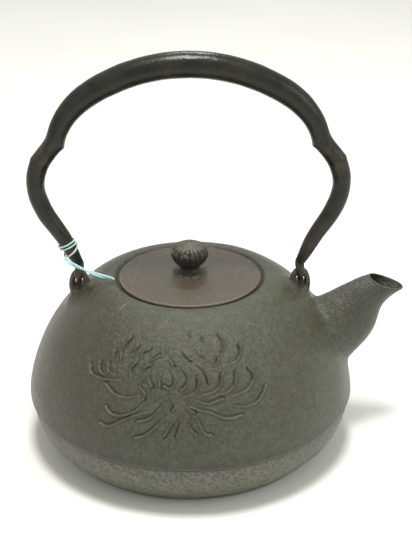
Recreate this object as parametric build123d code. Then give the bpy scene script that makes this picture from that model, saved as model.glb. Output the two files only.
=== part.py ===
"""Cast iron kettle with a bail handle. Millimetres, +Z up, spout towards +X, origin under its middle."""

import math
import os

from build123d import *

# Casting
BODY_RADIUS = 90.5
RIDGE_Z = 29.5  # the ridge where the shoulder meets the lower band
SHOULDER_RISE = 69.0  # from the ridge to where the shoulder would level off
SHOULDER_INSIDE_SEAT = 2.5  # of the radius where it would level off, in from the lid seat's edge
SHOULDER_POWER = 1.2  # 1 is an ellipse, and more is flatter
RIDGE_STEP = 0.9
BAND_FOOT_RADIUS = 76.0
BAND_FOOT_Z = 3.2
BAND_BULGE = 2.6
BASE_RADIUS = 70.0
FOOT_BEND = (-2.4, 0.9)  # from the band's foot, where the band turns into the base
WALL = 3.2
SHOULDER_SPANS = 6

# Mouth and lid
MOUTH_RADIUS = 34.0
SEAT_WIDTH = 5.7
SEAT_DEPTH = 2.0  # below the crest's outer edge
SEAT_THICKNESS = 3.2
CREST_WIDTH = 6.8
CREST_HEIGHT = 0.2
CREST_FALL = 1.2
CREST_TOP_SHARE = 0.54  # of the crest's width, out from the seat
SEAT_WALL_SLOPE = 0.5  # how much wider the seat is at its top
LID_EDGE_CLEARANCE = 0.9
LID_SEAT_CLEARANCE = 0.05
LID_EDGE_THICKNESS = 2.1
LID_CROWN = 1.4
LID_FLAT_MARGIN = 1.0  # round the rosette
CROWN_MIDDLE = (0.62, 0.3)  # shares of the lid's radius, and of the crown's fall
FLANGE_CLEARANCE = 1.0
FLANGE_THICKNESS = 2.6
FLANGE_DEPTH = 7.0

# Knob, its rosette, stem and washer
ROSETTE_RADIUS = 10.0
ROSETTE_THICKNESS = 1.6
KNOB_RADIUS = 10.0
KNOB_HEIGHT = 17.2
KNOB_NECK_RADIUS = 5.2
KNOB_FOOT_FLARE = 0.6
# Shares of the knob's radius and height, from its neck to its crown, and on to its tip
BUD_PROFILE = [(0.67, 0.21), (0.92, 0.39), (1.0, 0.58), (0.84, 0.80), (0.50, 0.92)]
BUD_FOOT_SHARE = 0.16
NUB_PROFILE = [(0.30, 0.935), (0.15, 0.98)]
KNOB_SLACK = 0.1
STEM_RADIUS = 2.4
STEM_RUNNING_CLEARANCE = 0.08
WASHER_RADIUS = 6.5
WASHER_THICKNESS = 1.0
CLENCH_RADIUS = 4.4
CLENCH_THICKNESS = 1.4

# Ears: upright rings on the shoulder, which the handle's hooks pass through
EAR_X = 60.2
EAR_RISE = 9.9  # of the bar that a hook hangs on, above the shoulder
EAR_BAR_RADIUS = 2.1
EAR_HOLE_HEIGHT = 10.2
EAR_SIDE_CLEARANCE = 1.1

# Handle
HANDLE_RISE = 115.0  # of the arch above the ears' bars
HANDLE_BULGE = 20.3  # of the legs beyond the ears
ARCH_ROUNDNESS = 1.144  # the arch's radius, as a share of half the handle's width
ARCH_DEGREES = (0, 14, 28)
ARCH_THINNING = 0.012  # of the tube's radius for each degree
TUBE_TOP_RADIUS = 7.1
TUBE_SHOULDER_RADIUS = 5.4
TUBE_LEG_RADIUS = 5.0
TUBE_FOOT_RADIUS = 3.9
TUBE_TIP_WALL = 1.4
TUBE_WALL = 1.2
TUBE_TIP_CLEARANCE = 3.3  # from a hook's thickness above the bar to the tube's end
HOOK_RADIUS = 1.5
HOOK_CLEARANCE = 0.45
HOOK_TAIL = 2.6
HOOK_JOG = 0.3  # how far the jog forward keeps to its ends' directions, as a share of its length
SHANK_CLEARANCE = 0.02
SHANK_LENGTH = 8.0
TUBE_SECTIONS = 24
SHOULDER_STATIONS = [  # shares of half the width and of the rise, and the tube's radius
    (0.738, 0.805, TUBE_SHOULDER_RADIUS + 0.7),
    (0.817, 0.728, TUBE_SHOULDER_RADIUS + 0.1),
    (0.870, 0.655, TUBE_SHOULDER_RADIUS),
    (0.923, 0.591, TUBE_LEG_RADIUS + 0.35),
    (0.978, 0.520, TUBE_LEG_RADIUS + 0.3),
]
LEG_STATIONS = [  # shares of the bulge and of the rise, and the tube's radius
    (1.0, 0.444, TUBE_LEG_RADIUS),
    (0.913, 0.359, TUBE_LEG_RADIUS),
    (0.672, 0.270, TUBE_LEG_RADIUS - 0.2),
    (0.366, 0.185, (TUBE_LEG_RADIUS + TUBE_FOOT_RADIUS) / 2),
    (0.142, 0.106, TUBE_FOOT_RADIUS),
]

# Spout: each section is its upper and lower end from the root's middle, and its half width
SPOUT_ROOT_TURN = 0.345  # place on the shoulder, as a share of its quarter turn
SPOUT_ROOT_SHIFT = (-2.4, 0, 1.8)  # of the root's middle from that place
SPOUT_STRETCH = 1.0
SPOUT_SECTIONS = [
    ((-9.9, 0, 17.1), (8.8, 0, -16.9), 17.0),
    ((2.3, 0, 24.0), (17.8, 0, -8.2), 14.2),
    ((11.8, 0, 30.2), (24.5, 0, 4.6), 11.2),
    ((15.6, 0, 32.1), (26.9, 0, 14.1), 9.3),
]
SPOUT_MOUTH = ((18.9, 0, 33.6), (38.1, 0, 25.0), 8.5)
SPOUT_ROOT_DEPTH = 14.0
SPOUT_WALL = 2.4
SPOUT_JOIN = 0.5  # of the plane where the spout's node starts, beyond the body's widest
PASSAGE_OVERRUN = 4.0

# Tag string
STRING_RADIUS = 1.3
WINDING_THICKNESS = 1.2
WINDING_WIDTH = 2.4
WINDING_SHARE = 0.922  # of the leg's centre line from the arch's top
THREAD_THICKNESS = 0.9
THREAD_WIDTH = 1.1
THREAD_SHARE = 0.940
WINDING_CLEARANCE = 0.15
STRING_ROUTE = [
    (-67.2, -5.0, 109.4),
    (-65.2, -7.5, 108.3),
    (-62.4, -9.0, 106.7),
    (-55.2, -9.6, 103.5),
    (-48.8, -9.5, 100.6),
    (-44.9, -9.3, 99.4),
    (-42.4, -9.2, 98.9),
    (-39.9, -8.8, 97.45),
]
STRING_BEND_SHARE = 0.45


SEAT_RADIUS = MOUTH_RADIUS + SEAT_WIDTH
SHOULDER_INNER = SEAT_RADIUS - SHOULDER_INSIDE_SEAT


def shoulder_point(turn, inset=0.0):
    """(radius, height) on the shoulder, from the ridge (turn 0) to where it levels off (turn 1)."""
    angle = turn * math.pi / 2
    wide = BODY_RADIUS - inset - SHOULDER_INNER
    tall = SHOULDER_RISE - inset
    radius = SHOULDER_INNER + wide * math.cos(angle) ** SHOULDER_POWER
    return radius, RIDGE_Z + tall * math.sin(angle) ** SHOULDER_POWER


def turn_at_radius(radius, inset=0.0):
    share = (radius - SHOULDER_INNER) / (BODY_RADIUS - inset - SHOULDER_INNER)
    return math.acos(share ** (1 / SHOULDER_POWER)) / (math.pi / 2)


def turn_at_height(height, inset=0.0):
    share = (height - RIDGE_Z) / (SHOULDER_RISE - inset)
    return math.asin(share ** (1 / SHOULDER_POWER)) / (math.pi / 2)


def shoulder_height(radius):
    return shoulder_point(turn_at_radius(radius))[1]


CREST_TURN = turn_at_radius(SEAT_RADIUS + CREST_WIDTH)
CREST_Z = shoulder_point(CREST_TURN)[1]
SEAT_Z = CREST_Z - SEAT_DEPTH
LID_Z = SEAT_Z + LID_SEAT_CLEARANCE
LID_RADIUS = SEAT_RADIUS - LID_EDGE_CLEARANCE
LID_TOP_Z = LID_Z + LID_EDGE_THICKNESS + LID_CROWN
KNOB_Z = LID_TOP_Z + ROSETTE_THICKNESS + KNOB_SLACK
STEM_BORE_RADIUS = STEM_RADIUS + STEM_RUNNING_CLEARANCE
HINGE_Z = shoulder_height(EAR_X) + EAR_RISE
HOOK_BEND = EAR_BAR_RADIUS + HOOK_CLEARANCE + HOOK_RADIUS
EAR_HALF_WIDTH = EAR_BAR_RADIUS + EAR_SIDE_CLEARANCE + HOOK_RADIUS
EAR_HALF_HEIGHT = EAR_BAR_RADIUS + EAR_HOLE_HEIGHT / 2
BULGE_X = EAR_X + HANDLE_BULGE
TUBE_TIP_RADIUS = HOOK_RADIUS + TUBE_TIP_WALL
TUBE_FOOT_RISE = EAR_BAR_RADIUS + HOOK_RADIUS + TUBE_TIP_CLEARANCE
ARCH_RADIUS = ARCH_ROUNDNESS * BULGE_X
SPOUT_JOIN_X = BODY_RADIUS + SPOUT_JOIN


def solid_of_turning(points_and_curves):
    """A solid turned about Z from a closed outline in the XZ plane."""
    return revolve(make_face(Wire(points_and_curves)), Axis.Z)


def at(radius, z):
    return Vector(radius, 0, z)


def shoulder_curve(inset, last_turn):
    turns = [last_turn * n / SHOULDER_SPANS for n in range(SHOULDER_SPANS + 1)]
    points = [at(*shoulder_point(turn, inset)) for turn in turns]
    return Spline(points)


def band_curve(inset):
    """The lower band from the ridge in to the foot, as one arc."""
    top = at(BODY_RADIUS - RIDGE_STEP - inset, RIDGE_Z - RIDGE_STEP)
    foot = at(BAND_FOOT_RADIUS - inset, max(BAND_FOOT_Z, inset))
    middle = (top + foot) / 2 + Vector(BAND_BULGE, 0, -BAND_BULGE)
    return ThreePointArc(top, middle, foot)


def casting_outside():
    shoulder = shoulder_curve(0, CREST_TURN)
    band = band_curve(0)
    ridge = Line(band @ 0, shoulder @ 0)
    crest_top = at(SEAT_RADIUS + CREST_WIDTH * CREST_TOP_SHARE, CREST_Z + CREST_HEIGHT)
    crest_foot = at(SEAT_RADIUS + SEAT_WALL_SLOPE, CREST_Z - CREST_FALL)
    crest = ThreePointArc(shoulder @ 1, crest_top, crest_foot)
    seat_wall = Line(crest @ 1, at(SEAT_RADIUS, SEAT_Z))
    seat = Line(seat_wall @ 1, at(MOUTH_RADIUS, SEAT_Z))
    middle_line = Polyline(seat @ 1, at(0, SEAT_Z), at(0, 0))
    base = Line(at(0, 0), at(BASE_RADIUS, 0))
    foot_bend = at(BAND_FOOT_RADIUS + FOOT_BEND[0], FOOT_BEND[1])
    foot = ThreePointArc(base @ 1, foot_bend, band @ 1)
    outline = [shoulder, crest, seat_wall, seat, *middle_line.edges(), base, foot, band, ridge]
    return solid_of_turning(outline)


def cavity():
    """The inside of the casting, up through the mouth."""
    ledge_z = SEAT_Z - SEAT_THICKNESS
    last_turn = turn_at_height(ledge_z, WALL)
    shoulder = shoulder_curve(WALL, last_turn)
    band = band_curve(WALL)
    ridge = Line(band @ 0, shoulder @ 0)
    ledge = Line(shoulder @ 1, at(MOUTH_RADIUS, ledge_z))
    mouth = Line(ledge @ 1, at(MOUTH_RADIUS, SEAT_Z + 1))
    top = Line(mouth @ 1, at(0, SEAT_Z + 1))
    middle_line = Line(top @ 1, at(0, WALL))
    floor = Line(at(0, WALL), band @ 1)
    return solid_of_turning([shoulder, ledge, mouth, top, middle_line, floor, band, ridge])


def spout_solid(wall, past_mouth, past_root):
    """The spout's outer form, or its passage when a wall is taken off each section."""
    root = at(*shoulder_point(SPOUT_ROOT_TURN)) + Vector(*SPOUT_ROOT_SHIFT)

    def section(upper, lower, half_width, shift):
        top = root + Vector(*upper) * SPOUT_STRETCH
        low = root + Vector(*lower) * SPOUT_STRETCH
        along = (top - low).normalized()
        out = along.cross(Vector(0, 1, 0)) * -1
        plane = Plane(origin=(top + low) / 2 + out * shift, x_dir=along, z_dir=out)
        return plane * Ellipse((top - low).length / 2 - wall, half_width - wall)

    first = SPOUT_SECTIONS[0]
    faces = [section(*first, -SPOUT_ROOT_DEPTH - past_root)]
    faces += [section(*each, 0) for each in SPOUT_SECTIONS]
    faces += [section(*SPOUT_MOUTH, 0)]
    if past_mouth:
        faces += [section(*SPOUT_MOUTH, past_mouth)]
    return loft(faces)


def ear():
    """One ear's ring, its lower end in the shoulder's wall, for the +X side."""
    middle = Vector(EAR_X, 0, HINGE_Z - EAR_HALF_HEIGHT)
    ring_plane = Plane(origin=middle, x_dir=(0, 0, 1), z_dir=(0, 1, 0))
    path = (ring_plane * Ellipse(EAR_HALF_HEIGHT, EAR_HALF_WIDTH)).face().outer_wire()
    start = middle + Vector(0, 0, EAR_HALF_HEIGHT)
    bar_section = Plane(origin=start, z_dir=path.tangent_at(0)) * Circle(EAR_BAR_RADIUS)
    return sweep(bar_section, path)


def casting():
    """The kettle's one casting, as (all of it up to the spout's join, the spout beyond that)."""
    right_ear = ear()
    whole = casting_outside() + spout_solid(0, 0, 0) + right_ear + mirror(right_ear, Plane.YZ)
    whole = whole - cavity() - spout_solid(SPOUT_WALL, PASSAGE_OVERRUN, PASSAGE_OVERRUN)
    join = Plane(origin=(SPOUT_JOIN_X, 0, 0), z_dir=(1, 0, 0))
    return split(whole, join, keep=Keep.BOTTOM), split(whole, join, keep=Keep.TOP)


def lid():
    edge_top = LID_Z + LID_EDGE_THICKNESS
    flange_out = MOUTH_RADIUS - FLANGE_CLEARANCE
    flange_in = flange_out - FLANGE_THICKNESS
    flat_edge = at(ROSETTE_RADIUS + LID_FLAT_MARGIN, LID_TOP_Z)
    crown_middle = at(LID_RADIUS * CROWN_MIDDLE[0], LID_TOP_Z - LID_CROWN * CROWN_MIDDLE[1])
    crown = ThreePointArc(flat_edge, crown_middle, at(LID_RADIUS, edge_top))
    rest = Polyline(
        crown @ 1,
        at(LID_RADIUS, LID_Z),
        at(flange_out, LID_Z),
        at(flange_out, LID_Z - FLANGE_DEPTH),
        at(flange_in, LID_Z - FLANGE_DEPTH),
        at(flange_in, LID_Z),
        at(STEM_BORE_RADIUS, LID_Z),
        at(STEM_BORE_RADIUS, LID_TOP_Z),
        crown @ 0,
    )
    return solid_of_turning([crown, *rest.edges()])


def disc(radius, bore_radius, bottom_z, thickness):
    plate = Pos(0, 0, bottom_z + thickness / 2) * Cylinder(radius, thickness)
    if bore_radius:
        plate -= Pos(0, 0, bottom_z + thickness / 2) * Cylinder(bore_radius, 2 * thickness)
    return plate


def knob_rosette():
    return disc(ROSETTE_RADIUS, STEM_BORE_RADIUS, LID_TOP_Z, ROSETTE_THICKNESS)


def knob_washer():
    return disc(WASHER_RADIUS, STEM_BORE_RADIUS, LID_Z - WASHER_THICKNESS, WASHER_THICKNESS)


def lid_knob():
    """A bud on a narrow neck, with its stem down through the lid and clenched under the washer."""

    def profile(shares):
        return [at(out * KNOB_RADIUS, KNOB_Z + up * KNOB_HEIGHT) for out, up in shares]

    neck = at(KNOB_NECK_RADIUS, KNOB_Z + BUD_FOOT_SHARE * KNOB_HEIGHT)
    tip = at(0, KNOB_Z + KNOB_HEIGHT)
    bud = Spline([neck, *profile(BUD_PROFILE)])
    crown = Spline([bud @ 1, *profile(NUB_PROFILE), tip], tangents=[Vector(-1, 0, 0), Vector(-1, 0, 0)])
    foot = Polyline(tip, at(0, KNOB_Z), at(KNOB_NECK_RADIUS + KNOB_FOOT_FLARE, KNOB_Z), neck)
    knob = solid_of_turning([bud, crown, *foot.edges()])
    clench_top = LID_Z - WASHER_THICKNESS - KNOB_SLACK
    stem_length = KNOB_Z - clench_top
    stem = Pos(0, 0, clench_top + stem_length / 2) * Cylinder(STEM_RADIUS, stem_length)
    return knob + stem + disc(CLENCH_RADIUS, 0, clench_top - CLENCH_THICKNESS, CLENCH_THICKNESS)


def handle_stations():
    """The right half's centre line and radius: (x, height above the bar, radius), from the arch down."""
    stations = []
    for degrees in ARCH_DEGREES:
        angle = math.radians(degrees)
        height = HANDLE_RISE - ARCH_RADIUS * (1 - math.cos(angle))
        stations.append((ARCH_RADIUS * math.sin(angle), height, TUBE_TOP_RADIUS - ARCH_THINNING * degrees))
    for out, up, radius in SHOULDER_STATIONS:
        stations.append((out * BULGE_X, up * HANDLE_RISE, radius))
    for out, up, radius in LEG_STATIONS:
        stations.append((EAR_X + out * HANDLE_BULGE, up * HANDLE_RISE, radius))
    return stations + [(EAR_X, TUBE_FOOT_RISE, TUBE_TIP_RADIUS)]


def leg_line():
    points = [Vector(x, 0, HINGE_Z + rise) for x, rise, _ in handle_stations()]
    return points, Spline(points, tangents=[Vector(1, 0, 0), points[-1] - points[-2]])


def leg_section(share):
    """The plane square to the leg's centre line at a share of it, and the tube's radius there."""
    points, line = leg_line()
    shares = [line.param_at_point(point) for point in points]
    radii = [radius for _, _, radius in handle_stations()]
    span = max(n for n in range(len(shares) - 1) if shares[n] <= share)
    part_way = (share - shares[span]) / (shares[span + 1] - shares[span])
    radius = radii[span] + part_way * (radii[span + 1] - radii[span])
    return Plane(origin=line.position_at(share), x_dir=(0, 1, 0), z_dir=line.tangent_at(share)), radius


def leg_half(wall):
    """Half the handle's tube, lofted through evenly spaced round sections square to its centre line."""
    sections = [leg_section(number / (TUBE_SECTIONS - 1)) for number in range(TUBE_SECTIONS)]
    return loft([plane * Circle(radius - wall) for plane, radius in sections])


def shank_frame():
    """Where the hook's shank enters the tube, with z up the leg."""
    stations = handle_stations()
    foot, above = stations[-1], stations[-2]
    end = Vector(foot[0], 0, HINGE_Z + foot[1])
    up = Vector(above[0], 0, HINGE_Z + above[1]) - end
    return Plane(origin=end, x_dir=(0, 1, 0), z_dir=up)


def handle_tube():
    outside = leg_half(0)
    frame = shank_frame()
    socket = frame * Cylinder(
        HOOK_RADIUS + SHANK_CLEARANCE, 2 * (SHANK_LENGTH + SHANK_CLEARANCE)
    )
    hollow = leg_half(TUBE_WALL)
    wide = 4 * TUBE_TOP_RADIUS
    plug_zone = frame * Box(wide, wide, 2 * SHANK_LENGTH)
    half = outside - (hollow - plug_zone) - socket
    return half + mirror(half, Plane.YZ)


def hook(side):
    """A round bar from the tube's end, down in front of the ear's bar, under it and up behind."""
    frame = shank_frame()
    top = frame.origin + frame.z_dir * SHANK_LENGTH
    shank = Line(top, frame.origin)
    front = Vector(EAR_X, -HOOK_BEND, HINGE_Z)
    reach = (frame.origin - front).length * HOOK_JOG
    jog = Bezier(frame.origin, frame.origin - frame.z_dir * reach, front + Vector(0, 0, reach), front)
    back = Vector(EAR_X, HOOK_BEND, HINGE_Z)
    bend = ThreePointArc(front, Vector(EAR_X, 0, HINGE_Z - HOOK_BEND), back)
    tail = Line(back, back + Vector(0, 0, HOOK_TAIL))
    path = Wire([shank, jog, bend, tail])
    section = Plane(origin=top, x_dir=(0, 1, 0), z_dir=frame.z_dir * -1) * Circle(HOOK_RADIUS)
    bar = sweep(section, path)
    return bar if side > 0 else mirror(bar, Plane.YZ)


def winding(share, thickness, width):
    """A band round the left leg, as the outer form of the turns tied there."""
    plane, leg_radius = leg_section(share)
    inner = leg_radius + WINDING_CLEARANCE
    band = plane * (Cylinder(inner + thickness, width) - Cylinder(inner, 2 * width))
    return mirror(band, Plane.YZ)


def tag_string():
    radii = []
    points = [Vector(*point) for point in STRING_ROUTE]
    for before, point, after in zip(points, points[1:], points[2:]):
        half_turn = math.radians((point - before).get_angle(after - point)) / 2
        shorter = min((point - before).length, (after - point).length)
        radii.append(STRING_BEND_SHARE * shorter / math.tan(half_turn))
    print("string bend radii", [round(radius, 1) for radius in radii])
    path = FilletPolyline(*points, radius=radii)
    section = Plane(origin=points[0], z_dir=points[1] - points[0]) * Circle(STRING_RADIUS)
    tube = sweep(section, path)
    volume_share = tube.volume / (section.area * path.length)
    print("string length", round(path.length, 1), "volume share", round(volume_share, 4))
    return tube


def main():
    os.makedirs("parts", exist_ok=True)
    kettle_body, spout = casting()
    nodes = {
        "kettle_body": kettle_body,
        "spout": spout,
        "lid": lid(),
        "knob_rosette": knob_rosette(),
        "knob_washer": knob_washer(),
        "lid_knob": lid_knob(),
        "handle_tube": handle_tube(),
        "hook_right": hook(1),
        "hook_left": hook(-1),
        "string_winding": winding(WINDING_SHARE, WINDING_THICKNESS, WINDING_WIDTH),
        "thread_loop": winding(THREAD_SHARE, THREAD_THICKNESS, THREAD_WIDTH),
        "tag_string": tag_string(),
    }
    for name, shape in nodes.items():
        export_step(shape, f"parts/{name}.step")


main()
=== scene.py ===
"""The look of a cast iron kettle, built round its CAD frame.

Shapes are worked out in millimetres, in the frame's own axes, and turned into metres as each mesh is made.
"""

import math

import bpy
import numpy as np
from mathutils import Matrix, Vector, kdtree, noise


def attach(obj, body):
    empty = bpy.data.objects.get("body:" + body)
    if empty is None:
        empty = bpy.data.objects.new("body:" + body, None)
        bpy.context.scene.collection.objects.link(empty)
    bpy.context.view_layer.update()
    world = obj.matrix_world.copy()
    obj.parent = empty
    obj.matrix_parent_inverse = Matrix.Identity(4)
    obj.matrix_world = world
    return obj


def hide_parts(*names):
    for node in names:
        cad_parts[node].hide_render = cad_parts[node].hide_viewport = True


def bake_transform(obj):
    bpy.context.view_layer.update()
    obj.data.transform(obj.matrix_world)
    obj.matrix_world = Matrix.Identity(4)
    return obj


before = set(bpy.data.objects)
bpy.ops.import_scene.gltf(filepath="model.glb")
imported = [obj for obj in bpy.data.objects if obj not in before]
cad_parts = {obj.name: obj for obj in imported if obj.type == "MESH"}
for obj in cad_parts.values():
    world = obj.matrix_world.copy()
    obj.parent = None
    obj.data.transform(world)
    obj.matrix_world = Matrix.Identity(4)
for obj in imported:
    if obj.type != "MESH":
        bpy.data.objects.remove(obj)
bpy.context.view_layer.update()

MM = 0.001

# Camera
CAMERA_PLACE = (0, -574.3, 364.35)
CAMERA_AIM = (8.84, 0, 95.7)
CAMERA_ROLL = math.radians(-0.186)
CAMERA_LENS = 76.1

# Casting
BODY_RADIUS = 90.5
RIDGE_Z = 29.5
SHOULDER_INNER = 37.2
SHOULDER_RISE = 69.0
SHOULDER_POWER = 1.2
RIDGE_STEP = 0.9
BAND_FOOT = (76.0, 3.2)
BAND_BULGE = 2.6
FOOT_BEND = (73.6, 0.9)
BASE_RADIUS = 70.0
WALL = 3.2
CREST_START = 55.0
CREST_TOP = (43.6, 96.42)
CREST_EDGE = [(42.4, 96.36), (41.3, 96.02), (40.55, 95.55), (40.2, 95.0)]
SEAT_Z = 94.22
SEAT_RADIUS = 39.7
MOUTH_RADIUS = 34.0
LEDGE_Z = 91.02

# Chrysanthemum on the front: its heart's place across and up, and its petals' edges round that
HEART = (-10.4, 67.2)
FLOWER_SPREAD = 1.09
PETAL_RISE = 0.95
PETAL_EDGE = 0.4
PETAL_SLOPE = 0.52
PETAL_HOLLOW = 1.1
PETAL_DEPTH = 0.5
FLOWER_DROOP = 0.45

# Ears and hooks
EAR_X = 60.2
HINGE_Z = 97.63
EAR_HALF_WIDTH = 4.0
EAR_HALF_HEIGHT = 7.2
EAR_BAR = 2.1
HOOK_RADIUS = 1.5
HOOK_BEND = 4.05

# Handle
BULGE_X = 80.5
HANDLE_BULGE = 20.3
HANDLE_RISE = 115.0
ARCH_RADIUS = 92.1
TUBE_TOP_RADIUS = 7.1
# The tube's line below the arch: shares of half the width and of the rise, and its radius
SHOULDER_STATIONS = [
    (0.738, 0.805, 6.1),
    (0.817, 0.728, 5.5),
    (0.870, 0.655, 5.4),
    (0.923, 0.591, 5.35),
    (0.978, 0.520, 5.3),
]
# The same for a leg: shares of the bulge beyond the ear and of the rise
LEG_STATIONS = [(1.0, 0.444, 5.0), (0.913, 0.359, 5.0), (0.672, 0.27, 4.8), (0.366, 0.185, 4.4)]
LEG_STATIONS += [(0.142, 0.106, 3.75)]
HOOK_FOOT_RISE = 6.9

# Spout: the root's middle, then each section's upper end, lower end and half width from there
SPOUT_ROOT = (79.07, 0, 62.47)
SPOUT_WALL = 2.4
SPOUT_RINGS = 44
SPOUT_AROUND = 64
ROOT_REACH = 7.0
SPOUT_SECTIONS = [
    ((-22.0, 10.2), (-3.3, -23.8), 17.0),
    ((-9.9, 17.1), (8.8, -16.9), 17.0),
    ((2.3, 24.0), (17.8, -8.2), 14.2),
    ((11.4, 29.2), (24.5, 4.6), 11.2),
    ((14.9, 30.7), (26.9, 14.1), 9.6),
    ((18.2, 31.6), (38.1, 25.0), 9.0),
]

# Lid and knob
LID_Z = 94.27
LID_RADIUS = 38.8
LID_RISE = 3.5
LID_EDGE_RISE = 2.1
FLANGE_INNER = 30.4
FLANGE_OUTER = 33.0
FLANGE_DEPTH = 7.0
KNOB_Z = 99.47
KNOB_RADIUS = 10.3
KNOB_HEIGHT = 17.2
FLUTES = 20

# Tag string: the route's points, in metres
STRING_ROUTE = [
    (-0.0672, -0.0050, 0.1094),
    (-0.0652, -0.0075, 0.1083),
    (-0.0624, -0.0090, 0.1067),
    (-0.0552, -0.0096, 0.1035),
    (-0.0488, -0.0095, 0.1006),
    (-0.0449, -0.0093, 0.0994),
    (-0.0424, -0.0092, 0.0989),
    (-0.0399, -0.0088, 0.09745),
]


# Shader maths


class Value:
    """A number that varies over a surface, from one socket. Its sums add Math nodes."""

    def __init__(self, finish, socket):
        self.finish = finish
        self.socket = socket

    def sum(self, operation, *others):
        node = self.finish.add("ShaderNodeMath", {"operation": operation}, dict(enumerate([self, *others])))
        return Value(self.finish, node.outputs[0])

    def __add__(self, other):
        return self.sum("ADD", other)

    __radd__ = __add__

    def __mul__(self, other):
        return self.sum("MULTIPLY", other)

    __rmul__ = __mul__

    def __sub__(self, other):
        return self.sum("SUBTRACT", other)

    def __rsub__(self, other):
        return (self * -1).sum("ADD", other)

    def __truediv__(self, other):
        return self.sum("DIVIDE", other)

    def __pow__(self, other):
        return self.sum("POWER", other)

    def least(self, other):
        return self.sum("MINIMUM", other)

    def between(self, low, high):
        """0 at low and 1 at high, eased at both ends."""
        settings = {"interpolation_type": "SMOOTHSTEP"}
        values = {"Value": self, "From Min": low, "From Max": high}
        return Value(self.finish, self.finish.add("ShaderNodeMapRange", settings, values).outputs[0])


class Finish:
    """One material, built node by node."""

    def __init__(self, name):
        self.material = bpy.data.materials.new(name)
        self.material.use_nodes = True
        self.tree = self.material.node_tree
        self.tree.nodes.clear()
        self.place = self.add("ShaderNodeTexCoord").outputs["Object"]

    def add(self, kind, settings=None, values=None):
        """A node of that kind, its settings set before its sockets' values or links."""
        node = self.tree.nodes.new(kind)
        for name, setting in (settings or {}).items():
            setattr(node, name, setting)
        for name, value in (values or {}).items():
            link = value.socket if isinstance(value, Value) else value
            if isinstance(link, bpy.types.NodeSocket):
                self.tree.links.new(link, node.inputs[name])
            else:
                node.inputs[name].default_value = value
        return node

    def noise(self, size, detail=3.0, rough=0.5, stretch=(1, 1, 1), seed=0.0):
        """Noise with lumps of about size millimetres, from 0 to 1."""
        moved = self.add(
            "ShaderNodeMapping", {}, {"Vector": self.place, "Location": (seed, seed, seed), "Scale": stretch}
        )
        values = {"Vector": moved.outputs[0], "Scale": 1 / (size * MM), "Detail": detail, "Roughness": rough}
        return Value(self, self.add("ShaderNodeTexNoise", {}, values).outputs[0])

    def ridges(self):
        """Above 0.5 along raised edges, and below it in hollows."""
        return Value(self, self.add("ShaderNodeNewGeometry").outputs["Pointiness"])

    def axis(self, name):
        """The place along X, Y or Z, in millimetres."""
        return Value(self, self.add("ShaderNodeSeparateXYZ", {}, {0: self.place}).outputs[name]) / MM

    def mix(self, share, first, second, blend="MIX"):
        """One colour mixed into another."""
        settings = {"data_type": "RGBA", "blend_type": blend}
        values = {0: share, 6: first, 7: second}
        return self.add("ShaderNodeMix", settings, values).outputs[2]

    def skin(self, color, roughness, height, depth, **constants):
        """The surface itself. height goes from 0 to 1 over depth millimetres."""
        bump = self.add("ShaderNodeBump", {}, {"Height": height, "Distance": depth * MM, "Strength": 1.0})
        values = {"Base Color": color, "Roughness": roughness, "Normal": bump.outputs[0]}
        surface = self.add("ShaderNodeBsdfPrincipled", {}, {**values, **constants})
        self.add("ShaderNodeOutputMaterial", {}, {"Surface": surface.outputs[0]})
        return self.material


def shade(red, green, blue):
    """A colour from its parts out of 255 as seen, for a socket."""
    parts = [part / 255 for part in (red, green, blue)]
    return [part / 12.92 if part < 0.04045 else ((part + 0.055) / 1.055) ** 2.4 for part in parts] + [1.0]


def casting_finish():
    """Sand cast iron: a coarse pitted skin, olive grey with brown patches; browner to the left with a painted
    warm reflection, darker to the right with painted shade, and greyer on the lower band, partly its rougher
    skin and partly painted bounce light from the floor. Hollows get painted shade, and raised edges a painted
    highlight.
    """
    finish = Finish("sand_cast_iron")
    patches = finish.noise(24, 4, 0.6)
    mottle = finish.noise(5, 4, 0.65, seed=3.1)
    grain = finish.noise(1.8, 4, 0.7, seed=1.7)
    lumps = finish.noise(3.2, 3, 0.6, seed=5.2)
    # painted warm reflection: the body's left side is mixed towards brown
    left = 1 - finish.axis("X").between(-92, -20)
    height = finish.axis("Z")
    band = 1 - height.between(RIDGE_Z - 1.6, RIDGE_Z + 0.4)
    # painted shade just above the ridge, where the body curves under
    shade_above_ridge = (1 - height.between(RIDGE_Z + 2, RIDGE_Z + 7)) * (1 - band)
    olive = finish.mix(mottle.between(0.3, 0.7), shade(68, 71, 56), shade(84, 86, 67))
    brown = finish.mix((patches.between(0.48, 0.66) * 0.4 + left * 0.85).least(1.0), olive, shade(72, 59, 44))
    # painted shade: the right side and the spout are darkened
    spout = finish.mix(finish.axis("X").between(82, 92) * 0.5, brown, shade(58, 59, 52))
    # the lower band is greyer, partly its rougher skin and partly painted bounce light from the floor
    grey = finish.mix(band * 0.8, spout, shade(116, 117, 102))
    spotted = finish.mix(grain.between(0.38, 0.6) * 0.6 + 0.3, shade(46, 48, 39), grey)
    # painted shade: hollows found by pointiness are darkened, as is the strip above the ridge
    edges = finish.ridges()
    hollow = ((1 - edges.between(0.45, 0.498)) * 0.9 + shade_above_ridge * 0.3).least(1.0)
    dark = finish.mix(hollow, spotted, shade(28, 27, 22))
    # painted highlight: raised edges found by pointiness are lightened
    color = finish.mix(edges.between(0.52, 0.6) * 0.3, dark, shade(150, 148, 130))
    roughness = 0.27 + mottle * 0.12 + band * 0.16
    return finish.skin(color, roughness, grain * (0.64 - band * 0.3) + lumps * 0.36, 1.25)


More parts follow.
